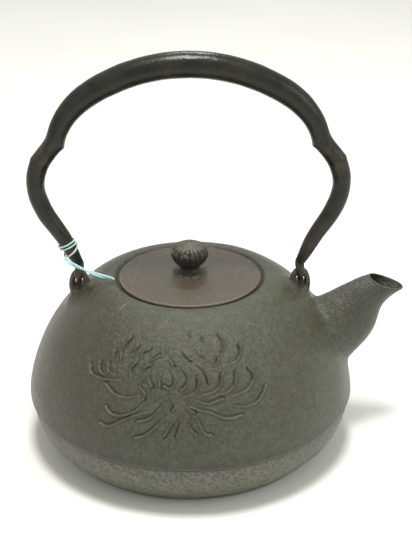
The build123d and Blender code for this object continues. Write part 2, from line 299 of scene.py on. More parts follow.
def lid_finish():
    """Thinner casting with a finer skin: grey green in the middle, rusty towards the edge, and lighter along
    the rim with a painted highlight.
    """
    finish = Finish("lid_iron")
    clouds = finish.noise(15, 4, 0.65, seed=2.2)
    mottle = finish.noise(4, 4, 0.65, seed=7.7)
    grain = finish.noise(1.2, 4, 0.65, seed=4.4)
    out = (finish.axis("X") ** 2 + finish.axis("Y") ** 2) ** 0.5
    base = finish.mix(mottle.between(0.3, 0.7), shade(80, 75, 58), shade(99, 89, 68))
    rusty = finish.mix((clouds + out * 0.006).between(0.56, 0.78) * 0.6, base, shade(118, 94, 70))
    spotted = finish.mix(grain.between(0.4, 0.62) * 0.5, shade(62, 58, 50), rusty)
    # painted highlight along the lid's rim
    color = finish.mix(out.between(LID_RADIUS - 1.4, LID_RADIUS - 0.6) * 0.3, spotted, shade(150, 142, 124))
    return finish.skin(color, 0.36 + mottle * 0.14, grain * 0.5 + mottle * 0.4, 0.75)


def handle_finish():
    """Forged and lacquered sheet: darker and smoother, with soft clouds and worn brown spots."""
    finish = Finish("handle_iron")
    clouds = finish.noise(12, 3, 0.6, seed=1.3)
    grain = finish.noise(1.1, 3, 0.6, seed=6.1)
    dents = finish.noise(6, 2, 0.5, seed=8.4)
    across = (finish.axis("X") ** 2) ** 0.5
    height = finish.axis("Z")
    base = finish.mix(clouds.between(0.35, 0.65), shade(26, 27, 22), shade(38, 37, 31))
    spotted = finish.mix(grain.between(0.55, 0.72) * 0.4, base, shade(62, 56, 46))
    near_kinks = 1 - (((across - 76) ** 2 + (height - 165) ** 2) ** 0.5).between(5, 15)
    low = 1 - height.between(104, 140)
    worn = ((near_kinks * 0.4 + low * 0.35) * clouds.between(0.35, 0.65)).least(1.0)
    color = finish.mix(worn, spotted, shade(84, 70, 55))
    height = grain * 0.3 + dents * 0.6
    return finish.skin(color, 0.2 + clouds * 0.16, height, 0.35, **{"Specular IOR Level": 0.32})


def knob_finish():
    """Close grained iron, nearly black below, lighter and browner on top, partly painted light from above,
    with painted glints on the upper ribs' edges.
    """
    finish = Finish("knob_iron")
    mottle = finish.noise(2.4, 3, 0.6, seed=9.4)
    grain = finish.noise(0.7, 3, 0.6, seed=2.8)
    out = (finish.axis("X") ** 2 + finish.axis("Y") ** 2) ** 0.5
    height = finish.axis("Z")
    # painted light from above: the crown is lighter, partly its own browner tone
    crown = height.between(KNOB_Z + 12.5, KNOB_Z + 14.5)
    # painted glints: bright specks on the ribs' edges in a band below the crown
    glint_zone = height.between(KNOB_Z + 9.5, KNOB_Z + 12) * (1 - crown) * out.between(7.5, 8.8)
    base = finish.mix(mottle.between(0.3, 0.7), shade(32, 31, 27), shade(50, 47, 40))
    top = finish.mix(crown * 0.7, base, shade(88, 84, 70))
    painted_glints = glint_zone * finish.ridges().between(0.5, 0.56) * mottle.between(0.4, 0.6)
    color = finish.mix(painted_glints, top, shade(165, 172, 156))
    return finish.skin(color, 0.36 + mottle * 0.18, grain * 0.5 + mottle * 0.4, 0.35)


def hidden_finish():
    finish = Finish("plain_iron")
    mottle = finish.noise(3, 3, 0.6, seed=4.9)
    grain = finish.noise(0.7, 3, 0.6, seed=3.8)
    color = finish.mix(mottle.between(0.35, 0.65), shade(58, 50, 44), shade(84, 66, 52))
    return finish.skin(color, 0.5 + mottle * 0.2, grain * 0.7, 0.25)


def string_finish(name, light, dark, ply):
    """Twisted string: fine fibres streaked between a light tone and a dark tone, which are partly painted
    highlight and painted shade.
    """
    finish = Finish(name)
    fibres = finish.noise(ply, 3, 0.6, stretch=(1, 2.4, 1), seed=5.5)
    fuzz = finish.noise(0.18, 2, 0.6, seed=6.5)
    # painted highlight and shade: the light and dark tones stand for lit and shaded fibres, mixed by
    # stretched noise
    color = finish.mix(fibres.between(0.3, 0.7), dark, light)
    roughness = 0.62 + fuzz * 0.2
    return finish.skin(color, roughness, fibres * 0.6 + fuzz * 0.4, 0.12, **{"Sheen Weight": 0.35})


# Meshes


def natural_spline(points, count):
    """A smooth line of count points through the given ones, spaced by their chords."""
    points = np.asarray(points, float)
    steps = np.linalg.norm(np.diff(points, axis=0), axis=1)
    knots = np.concatenate([[0], np.cumsum(steps)])
    size = len(points)
    left = np.eye(size)
    right = np.zeros_like(points)
    for k in range(1, size - 1):
        left[k, k - 1 : k + 2] = steps[k - 1], 2 * (steps[k - 1] + steps[k]), steps[k]
        after = (points[k + 1] - points[k]) / steps[k]
        before = (points[k] - points[k - 1]) / steps[k - 1]
        right[k] = 6 * (after - before)
    bend = np.linalg.solve(left, right)
    places = np.linspace(0, knots[-1], count)
    span = np.clip(np.searchsorted(knots, places, side="right") - 1, 0, size - 2)
    width = steps[span][:, None]
    ahead = (knots[span + 1] - places)[:, None]
    behind = (places - knots[span])[:, None]
    line = (bend[span] * ahead**3 + bend[span + 1] * behind**3) / (6 * width)
    line += (points[span] / width - bend[span] * width / 6) * ahead
    return line + (points[span + 1] / width - bend[span + 1] * width / 6) * behind


def distances_along(points):
    """How far along a broken line each of its points lies."""
    return np.concatenate([[0], np.cumsum(np.linalg.norm(np.diff(points, axis=0), axis=1))])


def evenly(points, spacing):
    """The same broken line with points about spacing apart, without its last point."""
    points = np.asarray(points, float)
    places = distances_along(points)
    count = max(1, round(places[-1] / spacing))
    wanted = np.linspace(0, places[-1], count + 1)[:-1]
    return np.stack([np.interp(wanted, places, points[:, k]) for k in range(points.shape[1])], axis=1)


def arc_through(start, middle, end, count=24):
    """Points on the arc through three (radius, z) points."""
    a, b, c = (complex(*point) for point in (start, middle, end))
    w = (c - a) / (b - a)
    centre = (b - a) * (w - abs(w) ** 2) / (2j * w.imag) + a
    turn_b = np.angle((b - centre) / (a - centre))
    turn_c = np.angle((c - centre) / (a - centre))
    if abs(turn_b) > abs(turn_c) or turn_b * turn_c < 0:
        turn_c -= math.copysign(2 * math.pi, turn_c)
    points = centre + (a - centre) * np.exp(1j * np.linspace(0, turn_c, count))
    return np.stack([points.real, points.imag], axis=1)


def eased(low, high, values):
    share = np.clip((values - low) / (high - low), 0, 1)
    return share * share * (3 - 2 * share)


def ring_faces(rows, columns, first=0):
    """Quads between closed rings of points that are numbered ring by ring."""
    faces = []
    for row in range(rows - 1):
        for column in range(columns):
            after = (column + 1) % columns
            low, high = first + row * columns, first + (row + 1) * columns
            faces.append((low + column, low + after, high + after, high + column))
    return faces


def end_faces(start, end, last, around):
    """Triangles that close a tube: its first ring to the point start, and the ring from last on to end."""
    faces = []
    for column in range(around):
        after = (column + 1) % around
        faces.append((start, after, column))
        faces.append((end, last + column, last + after))
    return faces


def joining_faces(last, around):
    """Quads that join the last ring of points, numbered from last on, back to the first ring."""
    after = [(column + 1) % around for column in range(around)]
    return [(last + column, last + after[column], after[column], column) for column in range(around)]


def turned_grid(radii, heights, angles):
    """Points at each radius and height, turned to each angle about Z."""
    return np.stack([radii * np.cos(angles), radii * np.sin(angles), heights + 0 * angles], axis=2)


def joined(parts):
    """One set of points and faces from several."""
    points, faces, total = [], [], 0
    for part_points, part_faces in parts:
        points.append(part_points)
        faces += [tuple(corner + total for corner in face) for face in part_faces]
        total += len(part_points)
    return np.concatenate(points), faces


def lumps(points, size, seed):
    """Smooth noise from -1 to 1 at each point, with lumps about size millimetres across."""
    return np.array([noise.noise(Vector(point) / size + Vector((seed, seed, seed))) for point in points])


def mesh_object(name, points, faces):
    mesh = bpy.data.meshes.new(name)
    mesh.from_pydata((np.asarray(points, float) * MM).tolist(), [], faces)
    mesh.validate()
    mesh.update()
    made = bpy.data.objects.new(name, mesh)
    bpy.context.scene.collection.objects.link(made)
    return made


def finished(made, material, sharp=50):
    made.data.materials.clear()
    made.data.materials.append(material)
    made.data.shade_smooth()
    made.data.set_sharp_from_angle(angle=math.radians(sharp))
    return made


def turned(profile, angles):
    """Points and faces of a solid turned about Z. The profile starts and ends on the axis."""
    middle = np.asarray(profile[1:-1], float)
    points = turned_grid(middle[:, 0][:, None], middle[:, 1][:, None], angles).reshape(-1, 3)
    rows, columns = len(middle), len(angles)
    faces = ring_faces(rows, columns)
    bottom, top = len(points), len(points) + 1
    points = np.concatenate([points, [(0, 0, profile[0][1]), (0, 0, profile[-1][1])]])
    return points, faces + end_faces(bottom, top, (rows - 1) * columns, columns)


def frames_along(line, side):
    """Tangents of a line, and two square directions at each point that don't twist about it."""
    tangents = np.gradient(line, axis=0)
    tangents /= np.linalg.norm(tangents, axis=1)[:, None]
    sides = []
    now = np.asarray(side, float)
    for tangent in tangents:
        now = now - tangent * (now @ tangent)
        now = now / np.linalg.norm(now)
        sides.append(now)
    sides = np.array(sides)
    return tangents, sides, np.cross(tangents, sides)


def tube(line, radii, around=24, side=(0, 1, 0), shape=None):
    """Points and faces of a closed tube. shape gives a factor of the radius by place and angle round it."""
    _, sides, ups = frames_along(line, side)
    angles = np.linspace(0, 2 * math.pi, around, endpoint=False)
    reach = np.broadcast_to(np.asarray(radii, float).reshape(-1, 1), (len(line), around)).copy()
    if shape is not None:
        reach = reach * shape(np.arange(len(line))[:, None], angles[None, :])
    rings = line[:, None, :] + reach[:, :, None] * (
        np.cos(angles)[None, :, None] * sides[:, None, :] + np.sin(angles)[None, :, None] * ups[:, None, :]
    )
    points = np.concatenate([rings.reshape(-1, 3), [line[0], line[-1]]])
    faces = ring_faces(len(line), around)
    faces += end_faces(len(points) - 2, len(points) - 1, (len(line) - 1) * around, around)
    return points, faces


def rounded_ends(radii, line, reach):
    """Radii that shrink in a quarter round over reach at both ends of a line."""
    places = distances_along(line)
    nearest = np.minimum(places, places[-1] - places)
    share = np.clip(nearest / reach, 0, 1)
    return radii * np.sqrt(1 - (1 - share) ** 2 * 0.98)


def solid_change(made, other, operation):
    """Unites a mesh with another, or cuts the other out of it. The other is then removed."""
    change = made.modifiers.new("solid", "BOOLEAN")
    change.operation = operation
    change.solver = "MANIFOLD"
    change.object = other
    bpy.context.view_layer.update()
    depsgraph = bpy.context.evaluated_depsgraph_get()
    mesh = bpy.data.meshes.new_from_object(made.evaluated_get(depsgraph))
    made.modifiers.clear()
    made.data = mesh
    bpy.data.objects.remove(other)
    return made


def ease_creases(made, places, reach, rounds):
    """Softens the mesh near where two forms meet: within reach of the given places, most at the places."""
    mesh = made.data
    points = np.empty(len(mesh.vertices) * 3)
    mesh.vertices.foreach_get("co", points)
    points = points.reshape(-1, 3)
    edges = np.empty(len(mesh.edges) * 2, int)
    mesh.edges.foreach_get("vertices", edges)
    edges = edges.reshape(-1, 2)
    tree = kdtree.KDTree(len(places))
    for number, place in enumerate(places):
        tree.insert(Vector(place) * MM, number)
    tree.balance()
    distance = np.array([tree.find(point)[2] for point in points]) / MM
    weight = (1 - eased(0.35 * reach, reach, distance))[:, None]
    counts = np.bincount(edges.ravel(), minlength=len(points))[:, None]
    for _ in range(rounds):
        total = np.zeros_like(points)
        np.add.at(total, edges[:, 0], points[edges[:, 1]])
        np.add.at(total, edges[:, 1], points[edges[:, 0]])
        points += 0.6 * weight * (total / np.maximum(counts, 1) - points)
    mesh.vertices.foreach_set("co", points.ravel())
    mesh.update()


# The casting's forms


def shoulder(turn, inset=0.0):
    angle = np.asarray(turn) * math.pi / 2
    wide = BODY_RADIUS - inset - SHOULDER_INNER
    radius = SHOULDER_INNER + wide * np.cos(angle) ** SHOULDER_POWER
    height = RIDGE_Z + (SHOULDER_RISE - inset) * np.sin(angle) ** SHOULDER_POWER
    return np.stack([radius, height], axis=-1)


def band_line(inset):
    top = np.array([BODY_RADIUS - RIDGE_STEP - inset, RIDGE_Z - RIDGE_STEP])
    foot = np.array([BAND_FOOT[0] - inset, max(BAND_FOOT[1], inset)])
    middle = (top + foot) / 2 + np.array([BAND_BULGE, -BAND_BULGE])
    return arc_through(foot, middle, top)


def outer_profile():
    """The casting's outside from the base's middle to the mouth, as (radius, z), and its inside back down."""
    side = shoulder(np.linspace(0, 0.92, 900))
    radii = np.arange(CREST_START, CREST_TOP[0], -0.8)
    rises = np.interp(radii, side[::-1, 0], side[::-1, 1])
    fall = np.interp(CREST_TOP[0], side[::-1, 0], side[::-1, 1]) - CREST_TOP[1]
    rises -= fall * ((CREST_START - radii) / (CREST_START - CREST_TOP[0])) ** 3
    crest = natural_spline([*zip(radii, rises), *CREST_EDGE], 160)
    side = side[side[:, 0] > CREST_START + 0.3]
    heights = side[:, 1]
    low = side[heights < 36]
    relief = side[heights >= 36]
    band = band_line(0)
    outside = [
        evenly([(0, 0), (BASE_RADIUS, 0)], 5),
        evenly(arc_through((BASE_RADIUS, 0), FOOT_BEND, BAND_FOOT), 1.0),
        evenly(band, 1.3),
        evenly([band[-1], side[0]], 0.5),
        evenly(np.concatenate([low, relief[:1]]), 1.0),
        evenly(np.concatenate([relief, crest[:1]]), 0.46),
        evenly(crest, 0.7),
        [CREST_EDGE[-1], (SEAT_RADIUS + 0.1, SEAT_Z + 0.5), (SEAT_RADIUS - 0.4, SEAT_Z)],
        evenly([(SEAT_RADIUS - 1, SEAT_Z), (MOUTH_RADIUS + 0.5, SEAT_Z)], 1.5),
        [(MOUTH_RADIUS + 0.5, SEAT_Z), (MOUTH_RADIUS, SEAT_Z - 0.5)],
    ]
    inner = shoulder(np.linspace(0, 0.88, 120), WALL)
    inner = inner[inner[:, 1] < LEDGE_Z][::-1]
    inside = [
        [(MOUTH_RADIUS, LEDGE_Z)],
        evenly([(MOUTH_RADIUS + 0.6, LEDGE_Z), (inner[0][0], LEDGE_Z)], 3),
        evenly(inner, 4),
        evenly(band_line(WALL)[::-1], 4),
        evenly([(BAND_FOOT[0] - WALL, WALL), (0, WALL)], 12),
        [(0, WALL)],
    ]
    return np.concatenate([*outside]), np.concatenate([*inside])


def column_angles():
    """Angles round the axis: close together across the flower, and fairly close at the spout and ears."""
    angles = [-math.pi]
    while angles[-1] < math.pi:
        degrees = math.degrees(angles[-1])
        flower = 1 - eased(43, 52, abs(degrees + 96))
        fittings = 1 - eased(20, 34, min(abs(degrees), 3 * abs(abs(degrees) - 180)))
        angles.append(angles[-1] + math.radians(2.3 - 1.96 * flower - 1.3 * fittings * (1 - flower)))
    angles = np.array(angles)
    return -math.pi + (angles[:-1] + math.pi) * 2 * math.pi / (angles[-1] + math.pi)


# Each petal's edge, from its root to its hooked tip, across and up from the flower's heart
PETALS = [
    [(-15, -1.5), (-20, -2.2), (-26, -0.5), (-30, 4)],
    [(-12, -4), (-16.5, -8.5), (-23, -10.5), (-28, -9.5), (-30, -6.5)],
    [(-11, -9), (-17, -10.5), (-24, -13.5), (-30, -15.5), (-33, -14)],
    [(-2.5, -4.5), (-7, -9.5), (-12, -12.5), (-15, -13)],
    [(-1, -10.5), (-7, -15.5), (-12, -19.5), (-16, -20.5)],
    [(2, -12), (-0.5, -15.5), (-3, -19.5)],
    [(4.5, -11), (4.5, -15.5), (3, -19.5)],
    [(8.5, -11), (8.5, -15.5), (11.5, -19)],
    [(11.5, -11), (14, -16), (16, -19), (18.5, -19.5)],
    [(0.3, -21.5), (0, -25)],
    [(9, -6.5), (13, -8), (19, -9.5), (26, -12), (33, -10.5)],
    [(12, -3.5), (16, -5.2), (20, -4.5), (24, -3)],
    [(29, -6.5), (36, -6.5), (41, -4), (44.5, 2.5)],
    [(14.5, -1.3), (19.5, 0), (23, 3), (24, 8)],
    [(21.5, -1.2), (26.5, 0), (30, 4), (30.5, 9)],
    [(28.5, -2), (34, 0), (38, 4), (38.8, 8), (36.5, 11)],
    [(27.5, 12.5), (31, 14.5), (33, 18), (32.5, 22)],
    [(23.5, 16.5), (25, 21), (24.5, 24.5), (23, 27)],
    [(6, -2), (9.5, -1), (12.5, 1.5), (13, 7)],
    [(5.5, 11.5), (8, 8), (8, 4), (5, 1)],
    [(1, 9.5), (2.2, 5), (0.5, 2), (-3, 3)],
    [(-4, 9), (-5, 6), (-4.6, 3)],
    [(-9.5, 9), (-9.8, 5.5), (-8.5, 3)],
    [(-13.5, 6), (-14, 2.5), (-12, 0), (-12.5, -3)],
    [(-8, 3.5), (-8.5, -1.5)],
    [(13, 12.5), (16, 10), (18, 4.5)],
    [(12.5, 19), (16, 16.5)],
    [(6, 19), (9.5, 15.5)],
    [(8.8, 29.5), (9.5, 26.5)],
    [(14.5, 27.5), (15, 24.5)],
    [(-23, 15.5), (-23, 18.5), (-21.5, 22.5), (-18.5, 26)],
    [(-17.5, 17), (-17, 19.5), (-15, 22)],
    [(-13.5, 16), (-13, 18.5), (-9.5, 20.5)],
    [(-27, 15), (-26, 19.5)],
    [(-18, 6.5), (-18.5, 11), (-16, 14)],
    [(-13.5, 8.5), (-12.5, 11), (-9, 13)],
    [(-9, 14.5), (-5, 17)],
    [(-1.8, 19), (-0.8, 21)],
    [(-26, 8.5), (-29, 10), (-28.8, 13.5)],
    [(-31, 8), (-33, 10), (-33, 14)],
    [(-23, 5.5), (-28, 5.8), (-34, 7), (-37.5, 9.5), (-37.8, 13)],
    [(6, -4.5), (8.5, -7.5), (11, -9)],
    [(1, -3), (2.2, -6), (1.2, -8)],
    [(-0.5, 15.5), (1.2, 12.8)],
    [(19, 12), (21.5, 13), (22.5, 15.5)],
]


def flower_relief(across, up):
    """How far the flower stands out at each place, which is across and up from its heart."""
    total = np.zeros(len(across))
    hollow = np.zeros(len(across))
    here = np.stack([across, up], axis=1)
    for petal in PETALS:
        line = natural_spline(petal, 5 * len(petal)) if len(petal) > 2 else np.linspace(*petal, 6)
        turning = sum(
            np.cross(after - point, point - before) for before, point, after in zip(line, line[1:], line[2:])
        )
        length = len(line) - 1
        height = np.zeros(len(across))
        for step, (start, end) in enumerate(zip(line, line[1:])):
            along = end - start
            share = np.clip((here - start) @ along / (along @ along), 0, 1)
            gap = here - start - share[:, None] * along
            distance = np.linalg.norm(gap, axis=1)
            inner = (along[0] * gap[:, 1] - along[1] * gap[:, 0]) * -turning > 0
            place = (step + share) / length
            wide = np.where(inner, PETAL_SLOPE, PETAL_EDGE) * (0.75 + 0.4 * place)
            rise = PETAL_RISE * (0.5 + 0.5 * place) * np.exp(-((distance / wide) ** 2))
            height = np.maximum(height, rise)
            dug = (0.4 + 0.6 * place) * np.exp(-(((distance - PETAL_HOLLOW) / PETAL_EDGE) ** 2))
            hollow = np.maximum(hollow, np.where(inner, dug, 0.0))
        total += height**3
    total = total ** (1 / 3)
    return total - PETAL_DEPTH * hollow * (1 - np.clip(total / 0.6, 0, 1))


def spout_line(offset, count, lip):
    """Rings of the spout: offset is the wall taken off, and lip how far the mouth's edge is rounded."""
    table = np.array([[*upper, *lower, half] for upper, lower, half in SPOUT_SECTIONS])
    smooth = natural_spline(table, 60)
    places = np.linspace(0, 59, count)
    rings = np.stack([np.interp(places, np.arange(60), smooth[:, k]) for k in range(5)], axis=1)
    walls = offset * (1 - 0.45 * eased(0.6, 1.0, np.linspace(0, 1, count)))
    shape = []
    root = np.array([SPOUT_ROOT[0], SPOUT_ROOT[2]])
    for (upper_x, upper_z, lower_x, lower_z, half), wall in zip(rings, walls):
        shape.append((np.array([upper_x, upper_z]) + root, np.array([lower_x, lower_z]) + root, half, wall))
    upper, lower, half, offset = shape[-1]
    along = (upper - lower) / np.linalg.norm(upper - lower)
    out = np.array([-along[1], along[0]])
    out = out if out[0] + out[1] > 0 else -out
    if lip > 0:
        for turn in (0.35, 0.7, 0.92, 1.0):
            push = out * lip * turn
            taken = offset + lip * (1 - math.cos(math.asin(turn)))
            shape.append((upper + push, lower + push, half, taken))
    else:
        for push, grow in ((0.5, 0.05), (1.0, 0.25), (1.4, 0.6), (3.0, 1.2)):
            shape.append((upper + out * push, lower + out * push, half, offset - grow))
    return shape


def spout_tube(shape, around, dip=0.0, sway=0.12):
    """Points and faces from rings given as upper end, lower end, half width and wall.

    dip is how far the mouth's two sides are let down below its upper and lower ends.
    """
    angles = np.linspace(0, 2 * math.pi, around, endpoint=False)
    rows = []
    for number, (upper, lower, half, wall) in enumerate(shape):
        middle = (upper + lower) / 2
        reach = (upper - lower) / 2
        size = np.linalg.norm(reach)
        along = reach / size
        width = (half - wall) * (1 - sway * 0.5 + sway * np.cos(angles) * 0.5) * np.sin(angles)
        run = (size - wall) * np.cos(angles)
        down = dip * eased(0.55, 1.0, number / (len(shape) - 1)) * np.sin(angles) ** 2
        place_x = middle[0] + along[0] * run - along[1] * down
        place_z = middle[1] + along[1] * run + along[0] * down
        rows.append(np.stack([place_x, width, place_z], axis=1))
    rings = np.array(rows)
    ends = rings.mean(axis=1)[[0, -1]]
    points = np.concatenate([rings.reshape(-1, 3), ends])
    faces = ring_faces(len(rows), around)
    faces += end_faces(len(points) - 2, len(points) - 1, (len(rows) - 1) * around, around)
    return points, faces


def ear_tube(side):
    """An ear's ring: round in section at the bar, and stouter down its sides into the shoulder."""
    turns = np.linspace(0, 2 * math.pi, 57)[:-1]
    middle = np.array([side * EAR_X, 0, HINGE_Z - EAR_HALF_HEIGHT])
    squared = np.sign(np.sin(turns)) * np.abs(np.sin(turns)) ** 0.62
    path = middle + np.stack([EAR_HALF_WIDTH * squared, 0 * turns, EAR_HALF_HEIGHT * np.cos(turns)], axis=1)
    down = (1 - np.cos(turns)) / 2
    around = np.linspace(0, 2 * math.pi, 20, endpoint=False)
    out = path - middle
    out /= np.linalg.norm(out, axis=1)[:, None]
    radial = EAR_BAR - 0.25 * np.sin(turns) ** 2 + 1.0 * eased(0.6, 1.0, down)
    sideways = EAR_BAR + 1.1 * eased(0.15, 0.7, down)
    rings = path[:, None, :] + np.cos(around)[None, :, None] * radial[:, None, None] * out[:, None, :]
    rings = rings + np.sin(around)[None, :, None] * sideways[:, None, None] * np.array([0, 1, 0])
    count = len(turns)
    faces = ring_faces(count, len(around)) + joining_faces((count - 1) * len(around), len(around))
    return rings.reshape(-1, 3), faces


def ear_lug(side):
    """The swelling of the shoulder that an ear grows from, longer towards the lid and behind."""
    turns = np.linspace(-math.pi / 2, math.pi / 2, 19)
    profile = [(math.cos(turn), math.sin(turn)) for turn in turns]
    points, faces = turned(profile, np.linspace(-math.pi, math.pi, 40, endpoint=False))
    inward = np.where(points[:, 0] * side < 0, 11.0, 6.2)
    points = points * np.stack([inward, 0 * inward + 7.0, 0 * inward + 4.6], axis=1)
    return points + np.array([side * EAR_X, 2.6, HINGE_Z - 10.7]), faces


def flip_if_inside_out(made):
    """Turns the faces outwards when the mesh's volume comes out negative."""
    mesh = made.data
    mesh.calc_loop_triangles()
    points = np.array([vertex.co for vertex in mesh.vertices])
    corners = points[[list(triangle.vertices) for triangle in mesh.loop_triangles]]
    volume = np.einsum("ij,ij->i", corners[:, 0], np.cross(corners[:, 1], corners[:, 2])).sum()
    if volume < 0:
        mesh.flip_normals()
    return made


def near(places, points, reach):
    """Distance from each point to the nearest of the places, out to reach."""
    tree = kdtree.KDTree(len(places))
    for number, place in enumerate(places):
        tree.insert(Vector(place), number)
    tree.balance()
    return np.minimum([tree.find(Vector(point))[2] for point in points], reach)


def root_reach(heights):
    """How far the spout's soft root reaches: widely below and at its sides, and hardly at its top."""
    return ROOT_REACH - 5.0 * eased(74, 86, heights)


def kettle_casting():
    outside, inside = outer_profile()
    profile = np.concatenate([outside, inside])
    angles = column_angles()
    points, faces = turned(profile, angles)
    rows, columns = len(profile) - 2, len(angles)
    tangent = np.gradient(profile, axis=0)[1:-1]
    tangent /= np.linalg.norm(tangent, axis=1)[:, None]
    out_r, out_z = tangent[:, 1], -tangent[:, 0]
    normals = turned_grid(out_r[:, None], out_z[:, None], angles).reshape(-1, 3)
    grid = points[: rows * columns]
    heights = grid[:, 2]
    outer = np.repeat(np.arange(rows) < len(outside) - 12, columns)
    lift = np.zeros(len(grid))

    # the flower
    arcs = distances_along(profile)[1:-1]
    on_side = (np.arange(rows) < len(outside)) & (profile[1:-1, 1] > RIDGE_Z)
    heart_arc = np.interp(HEART[1], profile[1:-1, 1][on_side], arcs[on_side])
    up = np.repeat(arcs - heart_arc, columns)
    across = grid[:, 0] - HEART[0]
    behind = np.sqrt(np.maximum(np.hypot(grid[:, 0], grid[:, 1]) ** 2 - HEART[0] ** 2, 0)) + grid[:, 1]
    up = up + FLOWER_DROOP * behind
    flower = outer & (grid[:, 1] < -20) & (heights > 36) & (np.abs(across - 3) < 50) & (np.abs(up - 2) < 34)
    lift[flower] += flower_relief(across[flower] / FLOWER_SPREAD, up[flower] / FLOWER_SPREAD)

    # uneven sand cast skin, which only takes metal away so that the widest place stays as it is
    skin = np.where(outer)[0]
    lift[skin] -= 0.28 * (1 + lumps(grid[skin], 17, 1.0)) * eased(0.5, 6, heights[skin])
    band = np.where(outer & (heights < RIDGE_Z + 0.5) & (heights > 1.5))[0]
    lift[band] -= 0.42 * (1 + lumps(grid[band], 6.5, 4.0)) * eased(1.5, 6, heights[band])

    # soft roots for the spout and the ears
    spout_outside = spout_line(0, SPOUT_RINGS, 0.5)
    spout_points, spout_faces = spout_tube(spout_outside, SPOUT_AROUND, 0.6)
    beside_spout = (grid[:, 0] > 40) & (np.abs(grid[:, 1]) < 40)
    shoulder_rows = np.where(outer & (heights > RIDGE_Z + 3) & beside_spout)[0]
    soft = root_reach(heights[shoulder_rows])
    gap = np.minimum(near(spout_points, grid[shoulder_rows], ROOT_REACH), soft)
    lift[shoulder_rows] += (soft - gap) ** 2 / (4.5 * soft)
    ears = [ear_tube(side) for side in (1, -1)]
    ear_points = np.concatenate([ear[0] for ear in ears])
    top_rows = np.where(outer & (heights > 70) & (np.abs(grid[:, 1]) < 16) & (np.abs(grid[:, 0]) > 40))[0]
    soft = 8.0
    gap = near(ear_points[ear_points[:, 2] < HINGE_Z - 7], grid[top_rows], soft)
    lift[top_rows] += (soft - gap) ** 2 / (3.6 * soft)

    surface_before = grid.copy()
    points[: rows * columns] = grid + normals * lift[:, None]
    body = flip_if_inside_out(mesh_object("kettle_casting", points, faces))

    # the spout stands a little stouter near the body, and its skin is uneven too
    spout_points = np.array(spout_points)
    rings = spout_points[:-2].reshape(-1, SPOUT_AROUND, 3)
    away = rings - rings.mean(axis=1)[:, None, :]
    away = (away / np.maximum(np.linalg.norm(away, axis=2), 1e-6)[:, :, None]).reshape(-1, 3)
    soft = root_reach(spout_points[:-2, 2])
    gap = np.minimum(near(surface_before[skin], spout_points[:-2], ROOT_REACH), soft)
    spout_points[:-2] += away * ((soft - gap) ** 2 / (4.5 * soft))[:, None]
    spout_points[:-2] -= away * (0.22 * (1 + lumps(spout_points[:-2], 7, 2.0)))[:, None] * 0.7
    spout = flip_if_inside_out(mesh_object("spout_outside", spout_points, spout_faces))
    passage_rings = spout_line(SPOUT_WALL, SPOUT_RINGS, 0)
    passage = flip_if_inside_out(mesh_object("spout_passage", *spout_tube(passage_rings, 48)))

    solid_change(body, spout, "UNION")
    for form in [*ears, ear_lug(1), ear_lug(-1)]:
        solid_change(body, flip_if_inside_out(mesh_object("ear", *form)), "UNION")
    solid_change(body, passage, "DIFFERENCE")

    # ease the line where the spout and the ears leave the body
    radial = np.hypot(spout_points[:-2, 0], spout_points[:-2, 1])
    side = shoulder(np.linspace(0, 0.86, 200))
    there = np.interp(spout_points[:-2, 2], side[:, 1], side[:, 0])
    root_line = spout_points[:-2][(np.abs(radial - there) < 1.6) & (spout_points[:-2, 0] > 55)]
    ease_creases(body, root_line, 3.0, 5)
    radial = np.hypot(ear_points[:, 0], ear_points[:, 1])
    there = np.interp(radial, side[::-1, 0], side[::-1, 1])
    foot_line = ear_points[(np.abs(ear_points[:, 2] - there) < 4.5) & (ear_points[:, 2] < HINGE_Z - 6.6)]
    ease_creases(body, foot_line, 3.2, 8)
    return body


def revolve_piece(name, profile, around, ripple=None):
    """A turned piece. ripple gives how far each point moves out, by its angle, radius and height."""
    angles = np.linspace(-math.pi, math.pi, around, endpoint=False)
    points, faces = turned(profile, angles)
    if ripple is not None:
        radii = np.hypot(points[:, 0], points[:, 1])
        turns = np.arctan2(points[:, 1], points[:, 0])
        radial, rise = ripple(turns, radii, points[:, 2])
        grow = 1 + radial / np.maximum(radii, 1e-6)
        points = np.stack([points[:, 0] * grow, points[:, 1] * grow, points[:, 2] + rise], axis=1)
    return flip_if_inside_out(mesh_object(name, points, faces))


def lid_plate():
    """The lid with its flange, slightly dished by casting and with a soft raised edge."""
    bore = 2.48
    top = LID_Z + LID_RISE
    edge = LID_Z + LID_EDGE_RISE
    foot = LID_Z - FLANGE_DEPTH
    crown = arc_through((11.0, top), (LID_RADIUS * 0.62, top - 0.42), (LID_RADIUS - 1.2, edge - 0.05), 40)
    rim = arc_through((LID_RADIUS - 0.9, LID_Z), (LID_RADIUS - 0.3, LID_Z + 1.2), (LID_RADIUS - 1.2, edge))
    flange_outside = [(FLANGE_INNER + 0.5, foot), (FLANGE_OUTER - 0.5, foot), (FLANGE_OUTER, foot + 0.5)]
    flange_outside += [(FLANGE_OUTER, LID_Z)]
    profile = [
        evenly([(bore, LID_Z), (FLANGE_INNER, LID_Z)], 3),
        evenly([(FLANGE_INNER, LID_Z), (FLANGE_INNER, foot + 0.4), (FLANGE_INNER + 0.5, foot)], 1.5),
        evenly(flange_outside, 1.2),
        evenly([(FLANGE_OUTER, LID_Z), (LID_RADIUS - 0.9, LID_Z)], 1.5),
        evenly(rim, 0.3),
        evenly(crown[::-1], 0.8),
        evenly([(11.0, top), (bore, top)], 1),
        [(bore, top), (bore, LID_Z)],
    ]
    profile = np.concatenate(profile)
    around = 300
    angles = np.linspace(-math.pi, math.pi, around, endpoint=False)
    grid = turned_grid(profile[:, 0][:, None], profile[:, 1][:, None], angles).reshape(-1, 3)
    wave = 0.16 * (lumps(grid, 13, 3.0) - 1) * eased(edge - 0.4, edge + 0.1, grid[:, 2])
    wave *= eased(10.4, 14, np.hypot(grid[:, 0], grid[:, 1]))
    grid[:, 2] += wave
    faces = ring_faces(len(profile), around)
    return flip_if_inside_out(mesh_object("lid_plate", grid, faces))


